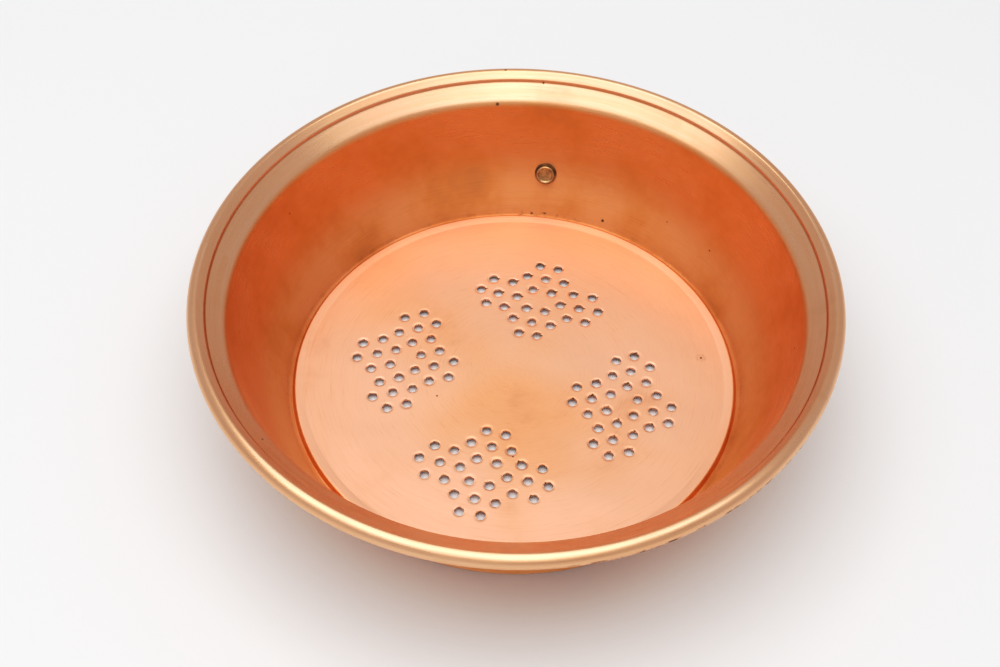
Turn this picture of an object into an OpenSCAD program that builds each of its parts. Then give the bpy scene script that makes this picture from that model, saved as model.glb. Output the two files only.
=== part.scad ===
// Spun copper colander with a wired rim, a punched flower pattern and a brass hanging ring.
// Origin at the centre of the foot, +Z up, hanger on the +Y side. Millimetres.

/* [Bowl] */
// Diameter over the rolled rim
rim_diameter = 240; // [230:1:260]
// Height from the foot to the top of the rim
bowl_height = 59; // [54:1:75]
// Diameter of the flat, pierced floor
floor_diameter = 173.4; // [165:0.2:176]
// Thickness of the copper sheet
sheet = 0.8; // [0.7:0.1:1]
// How far the wall's lean differs from its chord, at the foot and at the lip, in degrees
wall_bow = 8; // [6:0.5:9]
// Radius of the wall's curve, seen from the side
wall_curve = 110; // [80:5:120]
// Radius of the corner between groove and wall
corner_radius = 1.6; // [1.2:0.1:1.8]
// Slope of the lip between the wall and the rolled rim, in degrees
lip_slope = 38.8; // [34:0.1:42]
// Width of the lip, across the bowl
lip_width = 7.3; // [6.5:0.1:8.5]
// Diameter of the steel wire inside the rim
wire_diameter = 4.7; // [4.2:0.1:4.8]

/* [Foot] */
// Width of the pressed groove that stands out below as the foot
groove_width = 2.9; // [2.7:0.1:4]
// Gap that the groove leaves between the floor and the table
groove_depth = 1.8; // [1.7:0.1:3]
// Width of the upturned edge around the floor
edge_width = 3.6; // [3:0.1:5]
// Rise of the upturned edge
edge_rise = 0.4; // [0.2:0.1:0.6]

/* [Holes] */
// Diameter of the drain holes
hole_diameter = 4; // [3:0.1:5]
// Distance between neighbouring holes of one flower
hole_pitch = 7.9; // [7:0.1:8.4]
// Number of groups of four flowers
group_count = 4; // [3:1:4]
// Distance from the pattern's centre to the middle of each group
group_radius = 44.2; // [42:0.2:46]
// Turn of the whole pattern, in degrees
group_turn = 83.6; // [0:0.2:90]
// Distance of the inner and outer flowers from the group's middle
flower_radial = 12.1; // [11.5:0.1:12.5]
// Distance of the two side flowers from the group's middle
flower_side = 17.1; // [16.5:0.1:18]
// How far the pattern sits off the bowl's axis, away from the hanger
pattern_shift = 4.9; // [0:0.1:6]

/* [Hanger] */
// Height of the rivet above the floor
rivet_height = 15.5; // [14:0.1:17]
// Distance from the rivet to the strap's eye
eye_reach = 24.5; // [22:0.5:26]
// Width of the strap at the rivet
strap_width = 11; // [10:0.5:13]
// Width of the strap at the eye
eye_width = 6.4; // [5.6:0.2:7]
// Thickness of the strap's brass strip
strap_sheet = 1; // [0.8:0.1:1.1]
// Diameter of the ring's wire
ring_wire = 2.8; // [2.4:0.1:3]
// Diameter of the ring, inside its wire
ring_inside = 24; // [20:0.5:26]
// Diameter of the rivet's shank
shank_diameter = 5; // [4.6:0.1:5.2]
// Diameter of the washer inside the bowl
washer_diameter = 9.4; // [9:0.1:10]
// Thickness of the washer
washer_sheet = 0.7; // [0.6:0.1:0.9]

/* [Hidden] */

$fn = 96;
half_sheet = sheet / 2;
bead_radius = wire_diameter / 2 + 0.04 + sheet;
bead_centre = [rim_diameter / 2 - bead_radius, bowl_height - bead_radius];
floor_radius = floor_diameter / 2;
floor_z = groove_depth + half_sheet;
groove_z = half_sheet;

// The bead's sheet runs from the crease over the top to an end tucked below.
bead_start = 188;
bead_end = -140;
bead_step = 10;
bead_path = [
    for (angle = [bead_start : -bead_step : bead_end])
        bead_centre + (bead_radius - half_sheet) * [cos(angle), sin(angle)]
];
crease = bead_path[0];
lip_foot = crease - lip_width * [1, tan(lip_slope)];
wall_base = [floor_radius + groove_width, groove_z];
// The wall bulges from its chord: it leans more at the foot and less at the lip.
wall_chord = lip_foot - wall_base;
wall_out = [wall_chord[1], -wall_chord[0]] / norm(wall_chord);
wall_bend = (wall_base + lip_foot) / 2 + wall_out * norm(wall_chord) / 2 * tan(wall_bow);
wall_centre = wall_bend - wall_out * wall_curve / cos(wall_bow);

// Corners of the sheet's middle line in the order radius, height, corner radius.
corners = [
    [0, floor_z, 0],
    [floor_radius - edge_width, floor_z, 6],
    [floor_radius + 0.3, floor_z + edge_rise, 0.8],
    [floor_radius + 0.7, groove_z, 0.8],
    [wall_base[0], wall_base[1], corner_radius],
    [wall_bend[0], wall_bend[1], wall_curve],
    [lip_foot[0], lip_foot[1], 5.5],
    [crease[0], crease[1], 0]
];
corner_steps = 8;

function point(corner) = [corner[0], corner[1]];
function unit(v) = v / norm(v);
function left_of(v) = [-v[1], v[0]];
function turn_between(a, b) = atan2(a[0] * b[1] - a[1] * b[0], a * b);

// Points of the arc that rounds the corner between two straight runs.
function rounded(before, corner, after) =
    let (
        run_in = unit(point(corner) - point(before)),
        run_out = unit(point(after) - point(corner)),
        turn = turn_between(run_in, run_out),
        side = turn > 0 ? 1 : -1,
        radius = corner[2],
        start = point(corner) - run_in * radius * tan(abs(turn) / 2),
        middle = start + side * radius * left_of(run_in),
        first = atan2(start[1] - middle[1], start[0] - middle[0])
    )
    [
        for (step = [0 : corner_steps])
            middle + radius * [cos(first + turn * step / corner_steps),
                               sin(first + turn * step / corner_steps)]
    ];

floor_to_crease = [
    point(corners[0]),
    for (i = [1 : len(corners) - 2])
        each rounded(corners[i - 1], corners[i], corners[i + 1])
];
sheet_path = concat(floor_to_crease, bead_path);
last_point = len(sheet_path) - 1;

// One side of the sheet: the middle line moved sideways by the given distance.
function moved(path, i, distance) =
    let (
        run_in = unit(path[max(i, 1)] - path[max(i, 1) - 1]),
        run_out = unit(path[min(i, last_point - 1) + 1] - path[min(i, last_point - 1)]),
        normal = unit(left_of(run_in) + left_of(run_out))
    )
    path[i] + normal * distance / (normal * left_of(run_in));

// Place of the rivet on the outside of the wall, and of the eye above it.
rivet_z = floor_z + half_sheet + rivet_height;
outer_curve = wall_curve + half_sheet;
rivet_lean = asin((wall_centre[1] - rivet_z) / outer_curve);
rivet_y = wall_centre[0] + outer_curve * cos(rivet_lean);
strap_gap = 0.04;
eye_bore = ring_wire / 2 + 0.65;
eye_radius = eye_bore + strap_sheet;
eye_out = strap_gap + eye_radius;
pivot = [
    0,
    rivet_y + eye_out * cos(rivet_lean) + eye_reach * sin(rivet_lean),
    rivet_z - eye_out * sin(rivet_lean) + eye_reach * cos(rivet_lean)
];
ring_radius = (ring_inside + ring_wire) / 2;
head_radius = 4.2;
head_height = 1.7;
clinch_radius = 3.9;
clinch_height = 1.5;
washer_gap = 0.16;
washer_face = -(sheet + washer_gap + washer_sheet);

// Local frame on the wall: Y points out of the bowl, Z points up the wall.
module on_wall() {
    translate([0, rivet_y, rivet_z]) rotate([-rivet_lean, 0, 0]) children();
}

// A turned piece along the rivet's axis, from a profile of radius and distance outwards.
module along_rivet() {
    rotate([-90, 0, 0]) rotate_extrude() children();
}

module flower() {
    circle(d = hole_diameter);
    for (turn = [30 : 60 : 330])
        rotate(turn) translate([hole_pitch, 0]) circle(d = hole_diameter);
}

module flower_group() {
    for (place = [[flower_radial, 0], [-flower_radial, 0], [0, flower_side], [0, -flower_side]])
        translate(place) flower();
}

module drain_holes() {
    translate([0, -pattern_shift, floor_z - 2 * sheet])
        linear_extrude(4 * sheet)
            for (i = [0 : group_count - 1])
                rotate(group_turn + i * 360 / group_count) translate([group_radius, 0]) flower_group();
}

module bowl() {
    color([0.85, 0.47, 0.25])
        difference() {
            rotate_extrude()
                polygon(concat(
                    [for (i = [0 : last_point]) moved(sheet_path, i, half_sheet)],
                    [for (i = [last_point : -1 : 0]) moved(sheet_path, i, -half_sheet)]
                ));
            drain_holes();
            on_wall() rotate([90, 0, 0]) cylinder(d = shank_diameter + 0.1, h = 8, center = true);
        }
}

module rim_wire() {
    color([0.6, 0.6, 0.6])
        rotate_extrude() translate(bead_centre) circle(d = wire_diameter);
}

// Side view of the folded strip: two leaves pressed together and the eye around the ring.
module strap_side() {
    leaf_end = -strap_width / 2;
    bend = [1.5 * strap_sheet + strap_gap, eye_reach - 8];
    eye = [eye_out, eye_reach];
    wrap = eye_radius - strap_sheet / 2;
    lift = atan2(eye[0] - bend[0], eye[1] - bend[1]) + asin(wrap / norm(eye - bend));
    outer_run = sqrt(pow(norm(eye - bend), 2) - wrap * wrap);
    difference() {
        union() {
            translate([strap_gap, leaf_end]) square([strap_sheet, eye_reach - leaf_end]);
            translate([strap_gap + strap_sheet, leaf_end])
                square([strap_sheet, bend[1] - leaf_end + 0.2]);
            translate(bend) rotate(-lift) translate([-strap_sheet / 2, -0.15])
                square([strap_sheet, outer_run + 0.15]);
            translate(eye) circle(r = eye_radius);
        }
        translate(eye) circle(r = eye_bore);
    }
}

// Front view of the strap: round at the rivet and narrower at the eye.
module strap_front() {
    top = eye_reach + eye_radius + 1;
    circle(d = strap_width);
    polygon([
        [-strap_width / 2, 0],
        [strap_width / 2, 0],
        [eye_width / 2, eye_reach - eye_radius - 2],
        [eye_width / 2, top],
        [-eye_width / 2, top],
        [-eye_width / 2, eye_reach - eye_radius - 2]
    ]);
}

module hanger_strap() {
    color([0.78, 0.6, 0.3])
        on_wall() difference() {
            intersection() {
                rotate([90, 0, 90]) linear_extrude(strap_width + 2, center = true) strap_side();
                rotate([90, 0, 0]) linear_extrude(40, center = true) strap_front();
            }
            rotate([90, 0, 0]) cylinder(d = shank_diameter + 0.1, h = 20, center = true);
        }
}

module hanging_ring() {
    color([0.8, 0.63, 0.32])
        translate(pivot - [0, 0, ring_radius])
            rotate([90, 0, 0])
                rotate_extrude() translate([ring_radius, 0]) circle(d = ring_wire);
}

// Domed head outside, hollow shank through the wall, and an end rolled over the washer.
module rivet() {
    strap_face = strap_gap + 2 * strap_sheet;
    shank = shank_diameter / 2;
    dome_radius = (head_radius * head_radius + head_height * head_height) / (2 * head_height);
    cup = 1.8;
    end = washer_face - clinch_height;
    color([0.75, 0.6, 0.33])
        on_wall() along_rivet() {
            difference() {
                union() {
                    translate([0, end]) square([shank, strap_face + 0.1 - end]);
                    translate([shank - 0.3, washer_face - 0.02 - clinch_height * 0.45])
                        square([clinch_radius - clinch_height * 0.45 - shank + 0.3, clinch_height * 0.45]);
                    translate([clinch_radius - clinch_height * 0.5, end + clinch_height * 0.5])
                        intersection() {
                            circle(r = clinch_height * 0.5 - 0.02);
                            translate([-5, -5]) square([10, 10]);
                        }
                }
                translate([0, end - 0.1]) square([cup, 3]);
            }
            intersection() {
                translate([0, strap_face + 0.02 + head_height - dome_radius]) circle(r = dome_radius);
                translate([0, strap_face + 0.02]) square([head_radius, head_height]);
            }
        }
}

module rivet_washer() {
    color([0.7, 0.5, 0.3])
        on_wall() along_rivet()
            translate([shank_diameter / 2 + 0.05, washer_face])
                square([(washer_diameter - shank_diameter) / 2 - 0.05, washer_sheet]);
}

bowl();
rim_wire();
hanger_strap();
hanging_ring();
rivet();
rivet_washer();
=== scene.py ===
"""Spun copper colander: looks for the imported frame. Metres, +Z up, hanger on the +Y side."""
import math
import random

import bmesh
import bpy
from mathutils import Matrix, Vector, geometry, kdtree, noise


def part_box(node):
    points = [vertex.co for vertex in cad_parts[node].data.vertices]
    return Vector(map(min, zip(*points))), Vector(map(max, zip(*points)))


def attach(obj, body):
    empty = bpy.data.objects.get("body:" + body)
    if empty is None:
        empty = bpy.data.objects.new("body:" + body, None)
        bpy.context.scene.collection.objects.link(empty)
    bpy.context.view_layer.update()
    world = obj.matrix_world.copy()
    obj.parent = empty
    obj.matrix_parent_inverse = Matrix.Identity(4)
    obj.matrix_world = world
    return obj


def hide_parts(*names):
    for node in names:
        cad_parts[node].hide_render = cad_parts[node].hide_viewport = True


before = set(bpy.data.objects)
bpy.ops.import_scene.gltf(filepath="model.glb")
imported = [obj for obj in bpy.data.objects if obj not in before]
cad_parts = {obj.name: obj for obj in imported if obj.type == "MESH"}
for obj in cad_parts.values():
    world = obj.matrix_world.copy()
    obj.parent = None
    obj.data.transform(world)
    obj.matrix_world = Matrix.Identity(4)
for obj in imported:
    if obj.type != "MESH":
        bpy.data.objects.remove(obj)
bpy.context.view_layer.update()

MM = 0.001

# ---------------------------------------------------------------- sizes, worked out from the frame
bowl_low, bowl_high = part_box("bowl")
wire_low, wire_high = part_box("rim_wire")
RIM_RADIUS = bowl_high[0] / MM
HEIGHT = bowl_high[2] / MM
WIRE_RADIUS = (wire_high[2] - wire_low[2]) / 2 / MM
HOLE_RADIUS = 2.0
SHEET = 0.8
HALF = SHEET / 2
BEAD = WIRE_RADIUS + 0.04 + SHEET
BEAD_CENTRE = Vector((RIM_RADIUS - BEAD, HEIGHT - BEAD))
FLOOR_RADIUS = 86.7
FLOOR_Z = 2.2
GROOVE_WIDTH = 2.9
EDGE_WIDTH = 3.6
EDGE_RISE = 0.4
WALL_BOW = math.radians(8)
WALL_CURVE = 110
LIP_SLOPE = math.radians(38.8)
LIP_WIDTH = 7.3
RUBBED_SHARE = 0.83  # of the bead's radius, where the rim is rubbed flattest
RUBBED_ANGLE = math.radians(131)
RUBBED_REACH = 1.2
CORNER_RADIUS = 1.6
SEGMENTS = 288
SEAM_RADIUS = FLOOR_RADIUS - EDGE_WIDTH - 1.6

# The punched pattern: four groups of four flowers of seven holes.
HOLE_PITCH = 7.9
GROUP_RADIUS = 44.2
GROUP_TURN = math.radians(83.6)
FLOWER_RADIAL = 12.1
FLOWER_SIDE = 17.1
PATTERN_SHIFT = 4.9


def polar(radius, angle):
    return Vector((radius * math.cos(angle), radius * math.sin(angle)))


def smooth(t):
    t = max(0.0, min(1.0, t))
    return t * t * (3 - 2 * t)


# ---------------------------------------------------------------- camera and light
def make_camera():
    """The photo's view: a 50 mm lens, 50 degrees above the table, turned 8 degrees from the hanger."""
    elevation, turn, roll = math.radians(50.3), math.radians(8.0), math.radians(0.35)
    distance = 551.9 * MM
    target = Vector((-7.33, 10.84, 12.35)) * MM
    right = Vector((math.cos(turn), math.sin(turn), 0))
    level = Vector((-math.sin(turn), math.cos(turn), 0))
    back = -level * math.cos(elevation) + Vector((0, 0, math.sin(elevation)))
    up = back.cross(right)
    x_axis = right * math.cos(roll) + up * math.sin(roll)
    y_axis = up * math.cos(roll) - right * math.sin(roll)
    data = bpy.data.cameras.new("photo_camera")
    data.lens = 49.97
    data.sensor_width = 36
    data.clip_start, data.clip_end = 0.01, 50
    camera = bpy.data.objects.new("photo_camera", data)
    camera.matrix_world = Matrix.Translation(target + back * distance) @ Matrix(
        (x_axis, y_axis, back)
    ).transposed().to_4x4()
    bpy.context.scene.collection.objects.link(camera)
    bpy.context.scene.camera = camera


def area_light(name, place, aim, size, power, colour=(1, 1, 1)):
    data = bpy.data.lights.new(name, "AREA")
    data.shape = "RECTANGLE"
    data.size, data.size_y = size
    data.energy = power
    data.color = colour
    light = bpy.data.objects.new(name, data)
    light.location = place
    light.rotation_mode = "QUATERNION"
    light.rotation_quaternion = (Vector(aim) - Vector(place)).to_track_quat("-Z", "Y")
    bpy.context.scene.collection.objects.link(light)


def make_studio():
    world = bpy.data.worlds.new("studio")
    world.use_nodes = True
    sky = world.node_tree.nodes["Background"]
    sky.inputs["Color"].default_value = (1.0, 1.0, 1.0, 1)
    sky.inputs["Strength"].default_value = 0.53
    bpy.context.scene.world = world
    area_light("softbox_over", (-0.12, -0.16, 1.5), (-0.06, -0.05, 0), (1.9, 1.75), 18.5)
    view = bpy.context.scene.view_settings
    view.view_transform = "Standard"
    # A gentle camera-like contrast curve.
    view.use_curve_mapping = True
    curve = view.curve_mapping.curves[3]
    for place, height in ((0.05, 0.024), (0.22, 0.17), (0.5, 0.50)):
        curve.points.new(place, height)
    view.curve_mapping.update()

    floor = bpy.data.meshes.new("table")
    side = 4.0
    floor.from_pydata(
        [(-side, -side, 0), (side, -side, 0), (side, side, 0), (-side, side, 0)], [], [(0, 1, 2, 3)]
    )
    table = bpy.data.objects.new("table", floor)
    bpy.context.scene.collection.objects.link(table)
    paint = bpy.data.materials.new("white_table")
    paint.use_nodes = True
    shader = paint.node_tree.nodes["Principled BSDF"]
    shader.inputs["Base Color"].default_value = (0.86, 0.86, 0.865, 1)
    shader.inputs["Roughness"].default_value = 0.55
    floor.materials.append(paint)


# ---------------------------------------------------------------- the sheet's profile
def rounded(before, corner, after, radius, steps):
    """Points of the arc that rounds the corner between two straight runs."""
    run_in = (corner - before).normalized()
    run_out = (after - corner).normalized()
    turn = math.atan2(run_in.x * run_out.y - run_in.y * run_out.x, run_in.dot(run_out))
    side = 1 if turn > 0 else -1
    start = corner - run_in * radius * math.tan(abs(turn) / 2)
    middle = start + side * radius * Vector((-run_in.y, run_in.x))
    first = math.atan2(start.y - middle.y, start.x - middle.x)
    return [middle + polar(radius, first + turn * i / steps) for i in range(steps + 1)]


def split_run(start, end, longest):
    """Points between two ends, both left out, so that no stretch is longer than asked."""
    count = max(1, math.ceil((end - start).length / longest))
    return [start.lerp(end, i / count) for i in range(1, count)]


def lip_foot_point():
    """Where the wall turns into the lip."""
    crease = BEAD_CENTRE + polar(BEAD - HALF, math.radians(188))
    return crease - LIP_WIDTH * Vector((1, math.tan(LIP_SLOPE)))


def wall_curve(lip_foot):
    """The wall's base, the corner of its two runs and the centre of the curve between them."""
    base = Vector((FLOOR_RADIUS + GROOVE_WIDTH, HALF))
    chord = lip_foot - base
    out = Vector((chord.y, -chord.x)).normalized()
    bend = (base + lip_foot) / 2 + out * chord.length / 2 * math.tan(WALL_BOW)
    return base, bend, bend - out * WALL_CURVE / math.cos(WALL_BOW)


def shoulder(angle):
    """The rolled rim is rubbed flatter on its upper inner side, along the slope of the lip."""
    lean = abs(angle - RUBBED_ANGLE)
    return min(1.0, RUBBED_SHARE / math.cos(lean)) if lean < RUBBED_REACH else 1.0


def sheet_profile():
    """Middle line of the sheet from the seam with the floor to the tucked end of the rim."""
    bead_start, bead_end, bead_step = 182, -140, 4
    bead = [
        BEAD_CENTRE + polar((BEAD - HALF) * shoulder(math.radians(angle)), math.radians(angle))
        for angle in range(bead_start, bead_end - 3, -bead_step)
    ]
    crease = bead[0]
    lip_foot = lip_foot_point()
    base, bend, _ = wall_curve(lip_foot)
    corners = [
        (Vector((SEAM_RADIUS, FLOOR_Z)), 0, 0),
        (Vector((FLOOR_RADIUS - EDGE_WIDTH, FLOOR_Z)), 6, 4),
        (Vector((FLOOR_RADIUS + 0.3, FLOOR_Z + EDGE_RISE)), 0.8, 10),
        (Vector((FLOOR_RADIUS + 0.7, HALF)), 0.8, 8),
        (base, CORNER_RADIUS, 10),
        (bend, WALL_CURVE, 24),
        (lip_foot, 5.5, 14),
        (crease, 0, 0),
    ]
    path = [corners[0][0]]
    for i in range(1, len(corners) - 1):
        arc = rounded(corners[i - 1][0], corners[i][0], corners[i + 1][0], *corners[i][1:])
        path += split_run(path[-1], arc[0], 3.0) + arc
    return path + split_run(path[-1], crease, 1.2) + bead


def sheet_profile_crease():
    """Where the lip meets the rolled rim, as radius and height."""
    return BEAD_CENTRE + polar(BEAD, math.radians(186))


def moved(path, distance):
    """The middle line moved to one side of the sheet."""
    out = []
    for i, point in enumerate(path):
        run_in = (path[max(i, 1)] - path[max(i, 1) - 1]).normalized()
        nxt = min(i, len(path) - 2)
        run_out = (path[nxt + 1] - path[nxt]).normalized()
        left_in, left_out = Vector((-run_in.y, run_in.x)), Vector((-run_out.y, run_out.x))
        normal = (left_in + left_out).normalized()
        out.append(point + normal * distance / normal.dot(left_in))
    return out


# ---------------------------------------------------------------- the punched floor
def hole_centres():
    centres = []  # pairs of centre and group number
    for group in range(4):
        turn = GROUP_TURN + group * math.pi / 2
        middle = Vector((0, -PATTERN_SHIFT)) + polar(GROUP_RADIUS, turn)
        for radial, side in ((FLOWER_RADIAL, 0), (-FLOWER_RADIAL, 0), (0, FLOWER_SIDE), (0, -FLOWER_SIDE)):
            flower = middle + polar(radial, turn) + polar(side, turn + math.pi / 2)
            centres.append((flower, group))
            centres += [
                (flower + polar(HOLE_PITCH, turn + math.radians(30 + 60 * k)), group) for k in range(6)
            ]
    return centres


# Where the punch left a dark, torn tail beside its holes, group by group: direction in degrees,
# share of the holes that have one, and its longest length.
TAILS = ((18, 0.85, 1.35), (245, 0.35, 0.8), (140, 0.3, 0.8), (78, 0.5, 1.15))


class Punch:
    """One punched hole: where it is, how its lip was pushed down and its torn tail."""

    def __init__(self, centre, group, draw):
        self.centre = centre + Vector((draw.uniform(-0.22, 0.22), draw.uniform(-0.22, 0.22)))
        self.radius = HOLE_RADIUS * draw.uniform(0.96, 1.02)
        self.depth = draw.uniform(0.06, 0.16)
        self.width = draw.uniform(0.5, 1.3)
        self.tilt = draw.uniform(0.0, 0.06)
        self.tilt_angle = draw.uniform(0, 2 * math.pi)
        self.wobble = draw.uniform(0, 100)
        direction, share, longest = TAILS[group]
        self.tail_angle = math.radians(direction + draw.uniform(-16, 16))
        self.tail = longest * draw.uniform(0.55, 1.0) if draw.random() < share else 0.0

    def edge(self, angle):
        ragged = noise.noise(Vector((math.cos(angle), math.sin(angle), self.wobble)) * 1.3)
        return self.radius * (1 + 0.05 * ragged)

    def drop(self, offset):
        distance = offset.length - self.radius
        angle = math.atan2(offset.y, offset.x)
        fall = (1 - smooth(distance / self.width)) ** 1.5
        return fall * (self.depth + self.tilt * math.cos(angle - self.tilt_angle)) + 0.25 * self.torn(offset)

    def torn(self, offset):
        """1 inside the tail, a teardrop that starts at the hole's edge, and 0 outside it."""
        if self.tail == 0.0:
            return 0.0
        along = offset.dot(polar(1, self.tail_angle)) - self.radius * 0.55
        across = abs(offset.dot(polar(1, self.tail_angle + math.pi / 2)))
        reach = self.radius * 0.45 + self.tail
        width = 0.95 * (1 - max(0.0, along) / reach)
        if along < 0 or width <= 0.05:
            return 0.0
        return smooth((width - across) / 0.35)


RINGS = (0.0, 0.1, 0.25, 0.45, 0.7, 1.0, 1.4, 1.9)
RING_POINTS = 36
LATTICE = 2.2


def floor_wave(x, y):
    """Low, broad unevenness of hand-worked sheet, fading out towards the floor's edge."""
    fade = smooth((SEAM_RADIUS - math.hypot(x, y)) / 14)
    broad = noise.noise(Vector((x * 0.028, y * 0.028, 3.1)))
    fine = noise.noise(Vector((x * 0.11, y * 0.11, 7.7)))
    return fade * (0.22 * broad + 0.035 * fine)


def floor_plan(punches):
    """Flat triangulation of the floor: seam ring, rings around each hole and a lattice between."""
    points = [polar(SEAM_RADIUS, 2 * math.pi * i / SEGMENTS) for i in range(SEGMENTS)]
    edges = [(i, (i + 1) % SEGMENTS) for i in range(SEGMENTS)]
    tree = punch_tree(punches)
    for number, punch in enumerate(punches):
        for ring in RINGS:
            first = len(points)
            for k in range(RING_POINTS):
                angle = 2 * math.pi * k / RING_POINTS
                points.append(punch.centre + polar(punch.edge(angle) + ring, angle))
            if ring == 0.0:
                edges += [(first + k, first + (k + 1) % RING_POINTS) for k in range(RING_POINTS)]
    rows = int(2 * SEAM_RADIUS / (LATTICE * 0.866)) + 2
    for row in range(rows):
        y = -SEAM_RADIUS + row * LATTICE * 0.866
        for column in range(int(2 * SEAM_RADIUS / LATTICE) + 2):
            x = -SEAM_RADIUS + (column + 0.5 * (row % 2)) * LATTICE
            if math.hypot(x, y) > SEAM_RADIUS - 1.2:
                continue
            _, _, near = tree.find((x, y, 0))
            if near > HOLE_RADIUS + RINGS[-1] + 0.5:
                points.append(Vector((x, y)))
    return points, edges


def punch_tree(punches):
    tree = kdtree.KDTree(len(punches))
    for i, punch in enumerate(punches):
        tree.insert((punch.centre.x, punch.centre.y, 0), i)
    tree.balance()
    return tree


def make_bowl():
    draw = random.Random(11)
    punches = [Punch(centre, group, draw) for centre, group in hole_centres()]
    points, edges = floor_plan(punches)
    plan, _, triangles, origin, _, _ = geometry.delaunay_2d_cdt(points, edges, [], 0, 1e-5)
    tree = punch_tree(punches)
    seam = {}
    for i, sources in enumerate(origin):
        for source in sources:
            if source < SEGMENTS:
                seam[source] = i

    mesh = bmesh.new()
    hole_layer = mesh.verts.layers.float.new("hole_edge")
    tail_layer = mesh.verts.layers.float.new("torn_tail")
    heights, near_hole, tails = [], [], []
    for p in plan:
        drop = 0.0
        closest, tail = 1e9, 0.0
        for _, index, distance in tree.find_range((p.x, p.y, 0), HOLE_RADIUS + 2.4):
            drop += punches[index].drop(p - punches[index].centre)
            closest = min(closest, distance - punches[index].radius)
            tail = max(tail, punches[index].torn(p - punches[index].centre))
        heights.append(FLOOR_Z + floor_wave(p.x, p.y) - drop)
        near_hole.append(closest)
        tails.append(tail)

    def add(x, y, z, hole=0.0, tail=0.0):
        vert = mesh.verts.new((x * MM, y * MM, z * MM))
        vert[hole_layer] = hole
        vert[tail_layer] = tail
        return vert

    marks = [max(0.0, 1 - max(0.0, near) / 2.6) for near in near_hole]
    upper = [add(p.x, p.y, z + HALF, m, t) for p, z, m, t in zip(plan, heights, marks, tails)]
    lower = [add(p.x, p.y, z - HALF, m) for p, z, m in zip(plan, heights, marks)]
    kept = []
    for a, b, c in triangles:
        middle = (plan[a] + plan[b] + plan[c]) / 3
        _, index, distance = tree.find((middle.x, middle.y, 0))
        if distance > punches[index].radius * 0.9 or max(near_hole[a], near_hole[b], near_hole[c]) > 0.09:
            kept.append((a, b, c))
    for a, b, c in kept:
        mesh.faces.new((upper[a], upper[b], upper[c]))
        mesh.faces.new((lower[c], lower[b], lower[a]))
    count = {}
    for a, b, c in kept:
        for edge in ((a, b), (b, c), (c, a)):
            count[edge] = count.get(edge, 0) + 1
    for a, b in count:
        if (b, a) not in count and near_hole[a] < 1.0:
            mesh.faces.new((upper[b], upper[a], lower[a], lower[b]))

    path = sheet_profile()
    inner, outer = moved(path, HALF), moved(path, -HALF)
    section = inner[1:] + list(reversed(outer[1:]))
    columns = []
    for k in range(SEGMENTS):
        angle = 2 * math.pi * k / SEGMENTS
        column = [upper[seam[k]]]
        for p in section:
            column.append(add(*polar(p.x, angle), p.y))
        column.append(lower[seam[k]])
        columns.append(column)
    for k in range(SEGMENTS):
        a, b = columns[k], columns[(k + 1) % SEGMENTS]
        for j in range(len(a) - 1):
            mesh.faces.new((a[j], b[j], b[j + 1], a[j + 1]))
    bmesh.ops.recalc_face_normals(mesh, faces=mesh.faces)
    for face in mesh.faces:
        face.smooth = True
    data = bpy.data.meshes.new("spun_bowl")
    mesh.to_mesh(data)
    mesh.free()
    bowl = bpy.data.objects.new("spun_bowl", data)
    bpy.context.scene.collection.objects.link(bowl)
    data.set_sharp_from_angle(angle=math.radians(50))
    data.materials.append(copper_material())
    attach(bowl, "bowl_body")
    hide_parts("bowl")
    return bowl


# ---------------------------------------------------------------- the rivet
RIVET_HEIGHT = 15.5
WASHER_GAP = 0.16
WASHER_SHEET = 0.7


def turned(name, profile, node, material):
    """A turned piece on the rivet's axis, from points of radius and distance outwards."""
    centre = wall_curve(lip_foot_point())[2]
    height = FLOOR_Z + HALF + RIVET_HEIGHT
    lean = math.asin((centre.y - height) / (WALL_CURVE + HALF))
    out = centre.x + (WALL_CURVE + HALF) * math.cos(lean)
    steps = 72
    mesh = bmesh.new()
    columns = []
    for k in range(steps):
        angle = 2 * math.pi * k / steps
        columns.append([mesh.verts.new((r * math.cos(angle), y, r * math.sin(angle))) for r, y in profile])
    count = len(profile)
    for k in range(steps):
        a, b = columns[k], columns[(k + 1) % steps]
        for j in range(count):
            mesh.faces.new((a[j], a[(j + 1) % count], b[(j + 1) % count], b[j]))
    bmesh.ops.recalc_face_normals(mesh, faces=mesh.faces)
    for face in mesh.faces:
        face.smooth = True
    place = Matrix.Translation(Vector((0, out, height)) * MM) @ Matrix.Rotation(-lean, 4, "X")
    mesh.transform(place @ Matrix.Scale(MM, 4))
    data = bpy.data.meshes.new(name)
    mesh.to_mesh(data)
    mesh.free()
    data.set_sharp_from_angle(angle=math.radians(40))
    data.materials.append(material)
    piece = bpy.data.objects.new(name, data)
    bpy.context.scene.collection.objects.link(piece)
    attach(piece, "bowl_body")
    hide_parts(node)


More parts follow.
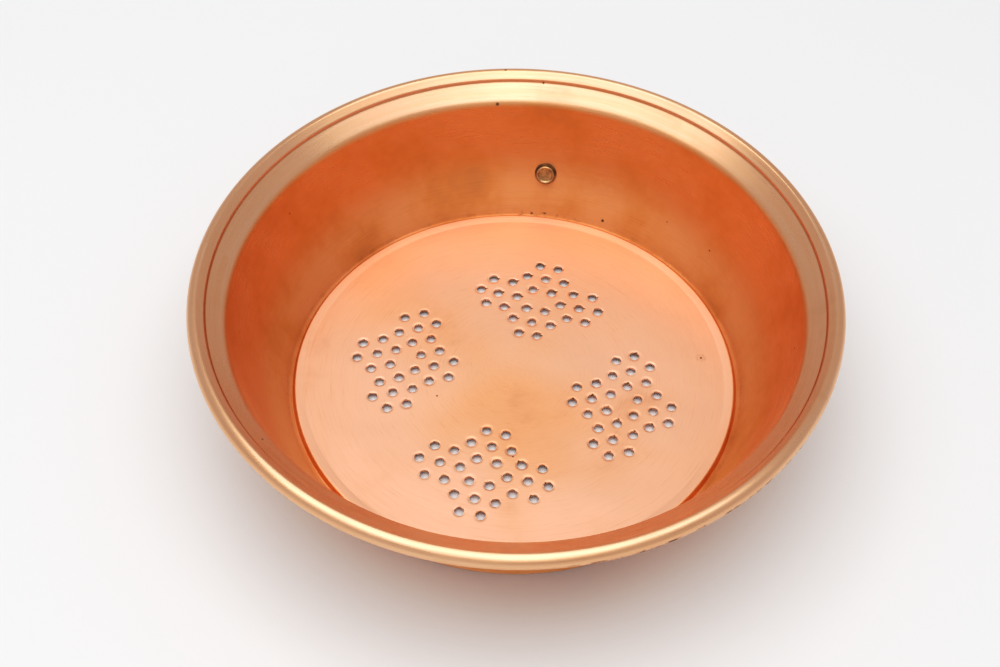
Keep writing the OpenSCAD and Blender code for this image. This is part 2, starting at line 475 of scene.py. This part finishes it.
def make_rivet():
    """The rivet with its clinched end and domed head, and the washer under the clinched end."""
    face = -(SHEET + WASHER_GAP + WASHER_SHEET)
    end = [
        (0.02, 0.72), (1.2, 0.76), (2.2, 0.8), (2.75, 0.88), (2.95, 1.15), (3.15, 1.4), (3.4, 1.48),
        (3.65, 1.42), (3.82, 1.2), (3.88, 0.9), (3.85, 0.55), (3.7, 0.2), (3.45, 0.03),
    ]
    head = [
        (4.15, 2.08), (4.18, 2.2), (4.05, 2.45), (3.5, 2.85), (2.7, 3.25), (1.7, 3.55), (0.8, 3.7), (0.02, 3.74),
    ]
    body = [(r, face - rise) for r, rise in end] + [(2.5, face - 0.03), (2.5, 2.08)] + head
    turned("rivet_turned", body, "rivet", rivet_material())
    ring = [(2.56, -0.96), (4.6, -0.96), (4.68, -1.04), (4.69, -1.5), (4.6, face), (2.56, face)]
    material = brass_material("washer_copper", rgb(0.42, 0.27, 0.17), rgb(0.16, 0.10, 0.07), 0.42)
    turned("washer_turned", ring, "rivet_washer", material)


# ---------------------------------------------------------------- materials
class Graph:
    """Small helper that adds and links shader nodes."""

    def __init__(self, name):
        self.material = bpy.data.materials.new(name)
        self.material.use_nodes = True
        self.tree = self.material.node_tree
        self.shader = self.tree.nodes["Principled BSDF"]

    def add(self, kind, **settings):
        node = self.tree.nodes.new(kind)
        for key, value in settings.items():
            setattr(node, key, value)
        return node

    def put(self, socket, value):
        if hasattr(value, "is_output"):
            self.tree.links.new(value, socket)
        else:
            socket.default_value = value

    def math(self, operation, *values):
        node = self.add("ShaderNodeMath", operation=operation)
        for socket, value in zip(node.inputs, values):
            self.put(socket, value)
        return node.outputs[0]

    def vector(self, x, y, z):
        node = self.add("ShaderNodeCombineXYZ")
        for socket, value in zip(node.inputs, (x, y, z)):
            self.put(socket, value)
        return node.outputs[0]

    def noise(self, vector, scale, detail=2.0, roughness=0.5):
        node = self.add("ShaderNodeTexNoise")
        self.put(node.inputs["Vector"], vector)
        self.put(node.inputs["Scale"], scale)
        self.put(node.inputs["Detail"], detail)
        self.put(node.inputs["Roughness"], roughness)
        return node.outputs["Fac"]

    def ramp(self, value, low, high, to_low=0.0, to_high=1.0):
        node = self.add("ShaderNodeMapRange", interpolation_type="SMOOTHSTEP")
        for socket, part in zip(node.inputs, (value, low, high, to_low, to_high)):
            self.put(socket, part)
        return node.outputs[0]

    def mix(self, factor, a, b):
        node = self.add("ShaderNodeMix", data_type="RGBA")
        self.put(node.inputs["Factor"], factor)
        self.put(node.inputs["A"], a)
        self.put(node.inputs["B"], b)
        return node.outputs["Result"]

    def attribute(self, name):
        return self.add("ShaderNodeAttribute", attribute_name=name).outputs["Fac"]

    def place(self):
        """Object position split into X, Y, Z, distance from the bowl's axis and angle around it."""
        split = self.add("ShaderNodeSeparateXYZ")
        coordinates = self.add("ShaderNodeTexCoord").outputs["Object"]
        self.put(split.inputs[0], coordinates)
        x, y, z = split.outputs
        radius = self.math("SQRT", self.math("ADD", self.math("MULTIPLY", x, x), self.math("MULTIPLY", y, y)))
        angle = self.math("ARCTAN2", y, x)
        return coordinates, x, y, z, radius, angle

    def ring_mask(self, radius, z, ring, reach):
        """1 on the circle around the axis given as radius and height in mm, 0 beyond its reach."""
        across = self.math("SUBTRACT", radius, ring.x * MM)
        rise = self.math("SUBTRACT", z, ring.y * MM)
        squares = self.math("ADD", self.math("MULTIPLY", across, across), self.math("MULTIPLY", rise, rise))
        return self.ramp(self.math("SQRT", squares), reach * MM, reach * 0.35 * MM)

    def spot(self, where, middle, reach):
        """1 at the given point in mm, 0 beyond its reach."""
        away = self.add("ShaderNodeVectorMath", operation="DISTANCE")
        self.put(away.inputs[0], where)
        self.put(away.inputs[1], middle * MM)
        return self.ramp(away.outputs["Value"], reach * MM, reach * 0.5 * MM)

    def bump(self, height, strength, distance, normal=None):
        node = self.add("ShaderNodeBump")
        self.put(node.inputs["Height"], height)
        self.put(node.inputs["Strength"], strength)
        self.put(node.inputs["Distance"], distance)
        if normal is not None:
            self.put(node.inputs["Normal"], normal)
        return node.outputs[0]


def rgb(r, g, b):
    return (r, g, b, 1.0)


# Dark flecks: one high on the back wall, two on the rim and a pit near the groove.
# Each has its turn in degrees, its distance from the axis, its height and its reach.
FLECKS = (
    (102, 106.3, 49.6, 1.1),
    (100, 117.0, 59.0, 0.7),
    (92, 113.4, 55.6, 0.6),
    (73, 91.2, 4.2, 0.8),
)


def copper_material():
    g = Graph("spun_copper")
    where, x, y, z, radius, angle = g.place()
    # Brush lines run around the bowl: fine across the radius and height, long along the angle.
    fine = g.vector(
        g.math("MULTIPLY", radius, 2600), g.math("MULTIPLY", z, 2600), g.math("MULTIPLY", angle, 5),
    )
    wide = g.vector(
        g.math("MULTIPLY", radius, 420), g.math("MULTIPLY", z, 420), g.math("MULTIPLY", angle, 1.4),
    )
    lines = g.noise(fine, 1.0, 3, 0.65)
    ridges = g.noise(wide, 1.0, 2, 0.5)
    blotch = g.noise(where, 30, 4, 0.6)
    broad = g.noise(where, 14, 2, 0.5)
    hole = g.attribute("hole_edge")
    tail = g.attribute("torn_tail")
    on_floor = g.ramp(radius, 0.0870, 0.0862)

    pink = rgb(0.92, 0.54, 0.38)
    orange = rgb(0.89, 0.45, 0.25)
    gold = rgb(0.86, 0.49, 0.29)
    brown = rgb(0.50, 0.24, 0.12)
    middle = g.math("ADD", broad, g.ramp(radius, 0.0, 0.075, 0.16, -0.08))
    floor_tint = g.mix(g.ramp(middle, 0.42, 0.78), pink, orange)
    wall_tint = g.mix(g.ramp(blotch, 0.40, 0.66), rgb(0.86, 0.43, 0.20), rgb(0.80, 0.36, 0.13))
    rim_tint = g.mix(g.ramp(ridges, 0.3, 0.7), gold, rgb(0.88, 0.53, 0.34))
    # Painted shade: the floor's colour is darker and browner towards the front.
    front_shade = g.ramp(y, 0.03, -0.08, 0.0, 0.30)
    floor_tint = g.mix(front_shade, floor_tint, rgb(0.66, 0.33, 0.21))
    colour = g.mix(on_floor, wall_tint, floor_tint)
    on_rim = g.ramp(radius, 0.1062, 0.1078)
    colour = g.mix(on_rim, colour, rim_tint)
    colour = g.mix(g.ramp(blotch, 0.56, 0.8, 0, 0.3), colour, brown)
    colour = g.mix(g.ramp(lines, 0.55, 0.8, 0, 0.25), colour, brown)

    # Small dark pits, one here and there.
    cells = g.add("ShaderNodeTexVoronoi", voronoi_dimensions="3D")
    g.put(cells.inputs["Vector"], where)
    g.put(cells.inputs["Scale"], 75.0)
    chosen = g.ramp(cells.outputs["Color"], 0.68, 0.70)
    pits = g.math("MULTIPLY", g.ramp(cells.outputs["Distance"], 0.034, 0.022), chosen)
    # Painted shade along the crease under the rim, and patchy painted shade in the groove around the floor,
    # strongest at the back.
    crease = sheet_profile_crease()
    crease_shade = g.ring_mask(radius, z, crease, 0.55)
    groove = Vector((FLOOR_RADIUS + GROOVE_WIDTH, FLOOR_Z - 0.6))
    patchy = g.ramp(g.noise(where, 260, 3, 0.6), 0.5, 0.66)
    groove_shade = g.math("MULTIPLY", g.ring_mask(radius, z, groove, 1.3), patchy)
    back = g.ramp(g.math("ABSOLUTE", g.math("SUBTRACT", angle, math.radians(91))), 0.20, 0.06)
    groove_shade = g.math("MULTIPLY", groove_shade, g.math("ADD", back, 0.12))
    # Patina along the outside of the rim, on the right of the front.
    side = Vector((RIM_RADIUS, BEAD_CENTRE.y - 0.6))
    front = g.ramp(g.math("ABSOLUTE", g.math("SUBTRACT", angle, math.radians(-48))), 0.55, 0.3)
    patina = g.math("MULTIPLY", g.ring_mask(radius, z, side, 1.1), front)
    patina = g.math("MULTIPLY", patina, g.ramp(g.noise(where, 180, 4, 0.7), 0.44, 0.6))
    # The old drill mark on the floor: a pale brown disc with a dark point.
    mark_x, mark_y = 73.1 * MM, 18.1 * MM
    away_x, away_y = g.math("SUBTRACT", x, mark_x), g.math("SUBTRACT", y, mark_y)
    squares = g.math("MULTIPLY", away_x, away_x), g.math("MULTIPLY", away_y, away_y)
    away = g.math("SQRT", g.math("ADD", *squares))
    disc = g.math("MULTIPLY", g.ramp(away, 0.0023, 0.0019), g.ramp(g.noise(where, 900, 2), 0.2, 0.9))
    dot = g.ramp(away, 0.0006, 0.0003)

    residue = g.math("MULTIPLY", g.ramp(hole, 0.72, 1.0), g.ramp(g.noise(where, 300, 3, 0.6), 0.46, 0.66))
    colour = g.mix(g.math("MULTIPLY", residue, 0.5), colour, rgb(0.45, 0.16, 0.05))
    colour = g.mix(g.math("MULTIPLY", disc, 0.45), colour, rgb(0.55, 0.27, 0.12))
    # Painted shade: the crease under the rim darkened to a deep red.
    colour = g.mix(g.math("MULTIPLY", crease_shade, 0.8), colour, rgb(0.42, 0.12, 0.03))
    # Real pits, drill point, patina and flecks, joined with the painted shade in the groove.
    dirt_and_shade = g.math("MAXIMUM", g.math("MAXIMUM", pits, dot), g.math("MAXIMUM", groove_shade, patina))
    for turn, out, height, reach in FLECKS:
        place = Vector((*polar(out, math.radians(turn)), height))
        dirt_and_shade = g.math("MAXIMUM", dirt_and_shade, g.spot(where, place, reach))
    # The dark marks and the painted shade in the groove, mixed into the colour together.
    colour = g.mix(g.math("MULTIPLY", dirt_and_shade, 0.8), colour, rgb(0.10, 0.055, 0.03))
    olive = g.mix(g.noise(where, 500, 2), rgb(0.05, 0.045, 0.015), rgb(0.16, 0.11, 0.035))
    colour = g.mix(tail, colour, olive)
    g.put(g.shader.inputs["Base Color"], colour)
    g.shader.inputs["Metallic"].default_value = 1.0
    rough = g.ramp(lines, 0.25, 0.75, 0.25, 0.36)
    rough = g.math("ADD", rough, g.math("MULTIPLY", on_floor, 0.17))
    rough = g.math("ADD", rough, g.ramp(blotch, 0.4, 0.8, 0.0, 0.08))
    # The lower wall is rubbed matt, so that the soft light from above spreads over it.
    low_wall = g.math("MULTIPLY", g.ramp(z, 0.030, 0.004, 0.0, 0.30), g.ramp(radius, 0.0875, 0.0885))
    rough = g.math("ADD", rough, low_wall)
    rough = g.math("ADD", rough, g.math("MULTIPLY", g.math("MAXIMUM", dirt_and_shade, tail), 0.3))
    g.put(g.shader.inputs["Roughness"], rough)
    g.put(g.shader.inputs["Anisotropic"], g.ramp(on_floor, 0.0, 1.0, 0.75, 0.0))
    g.shader.inputs["Anisotropic Rotation"].default_value = 0.25
    around = g.add("ShaderNodeTangent", direction_type="RADIAL", axis="Z")
    g.put(g.shader.inputs["Tangent"], around.outputs[0])
    normal = g.bump(lines, 0.10, 0.00006)
    normal = g.bump(ridges, 0.10, 0.0003, normal)
    g.put(g.shader.inputs["Normal"], normal)
    return g.material


def brass_material(name, base, dark, rough):
    g = Graph(name)
    where = g.place()[0]
    grain = g.noise(where, 900, 3, 0.6)
    stain = g.noise(where, 160, 4, 0.6)
    colour = g.mix(g.ramp(stain, 0.4, 0.7), base, dark)
    g.put(g.shader.inputs["Base Color"], colour)
    g.shader.inputs["Metallic"].default_value = 1.0
    g.put(g.shader.inputs["Roughness"], g.ramp(stain, 0.3, 0.8, rough, rough + 0.2))
    g.put(g.shader.inputs["Normal"], g.bump(grain, 0.15, 0.0001))
    return g.material


def rivet_material():
    """Brass, with painted shade from an occlusion node in the groove just inside the clinched edge."""
    g = Graph("rivet_brass")
    where = g.place()[0]
    stain = g.noise(where, 420, 4, 0.6)
    colour = g.mix(g.ramp(stain, 0.35, 0.7), rgb(0.72, 0.50, 0.28), rgb(0.42, 0.27, 0.14))
    occlusion_shade = g.add("ShaderNodeAmbientOcclusion", samples=8)
    g.put(occlusion_shade.inputs["Distance"], 0.0012)
    # Painted shade: darkened where the occlusion node finds the surface hemmed in.
    colour = g.mix(g.ramp(occlusion_shade.outputs["AO"], 0.85, 0.45, 0, 0.7), colour, rgb(0.10, 0.065, 0.04))
    g.put(g.shader.inputs["Base Color"], colour)
    g.shader.inputs["Metallic"].default_value = 0.9
    g.put(g.shader.inputs["Roughness"], g.ramp(stain, 0.3, 0.8, 0.38, 0.55))
    g.put(g.shader.inputs["Normal"], g.bump(g.noise(where, 1500, 3, 0.6), 0.3, 0.0001))
    return g.material


def steel_material():
    g = Graph("drawn_steel")
    where = g.place()[0]
    colour = g.mix(g.noise(where, 300, 3), rgb(0.4, 0.39, 0.38), rgb(0.25, 0.2, 0.17))
    g.put(g.shader.inputs["Base Color"], colour)
    g.shader.inputs["Metallic"].default_value = 1.0
    g.shader.inputs["Roughness"].default_value = 0.4
    return g.material


def dress(node, material):
    """Gives a carried-over CAD node its material."""
    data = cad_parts[node].data
    data.materials.clear()
    data.materials.append(material)


make_camera()
make_studio()
make_bowl()
dress("rim_wire", steel_material())
dress("hanger_strap", brass_material("strap_brass", rgb(0.62, 0.46, 0.22), rgb(0.35, 0.24, 0.12), 0.35))
dress("hanging_ring", brass_material("ring_brass", rgb(0.72, 0.54, 0.26), rgb(0.45, 0.32, 0.15), 0.28))
make_rivet()
